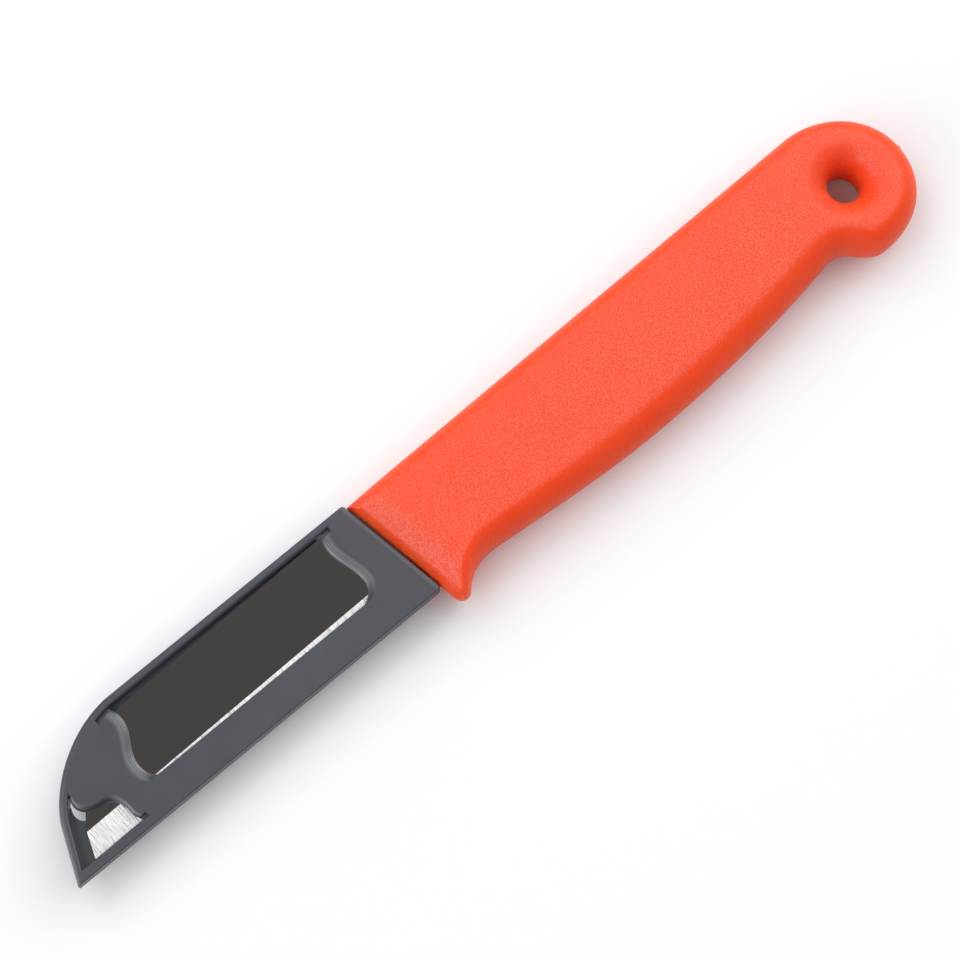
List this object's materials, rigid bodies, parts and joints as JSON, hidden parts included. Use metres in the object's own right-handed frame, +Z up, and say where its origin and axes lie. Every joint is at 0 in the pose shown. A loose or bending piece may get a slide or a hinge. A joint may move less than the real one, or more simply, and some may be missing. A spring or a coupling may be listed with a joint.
{
  "type": "floral knife",
  "caption": "Small fixed-blade floral knife with a straight sheep's-foot blade, a moulded handle with a hooked pommel and hang hole, and a windowed blade guard that slides off.",
  "frame": {"origin": "on the surface that the knife lies on, under the middle of its outline", "axes": "+X along the knife from the blade point to the pommel, +Y from the cutting edge to the spine, +Z up through the flat side"},
  "size_m": [0.1774, 0.0258, 0.012],
  "materials": {
    "handle_plastic": "orange-red moulded plastic with a fine spark-eroded grain",
    "blade_steel": "stainless steel, polished faces and a satin-ground bevel",
    "guard_plastic": "dark blue-grey moulded plastic, fine satin"
  },
  "bodies": {
    "knife": {"handle": "handle_plastic", "blade": "blade_steel"},
    "guard": {"blade_guard": "guard_plastic"}
  },
  "joints": [
    {"name": "guard_slide", "type": "slide", "parent": "knife", "child": "guard", "axis": [-1, 0, 0], "range_m": [0, 0.08]}
  ]
}
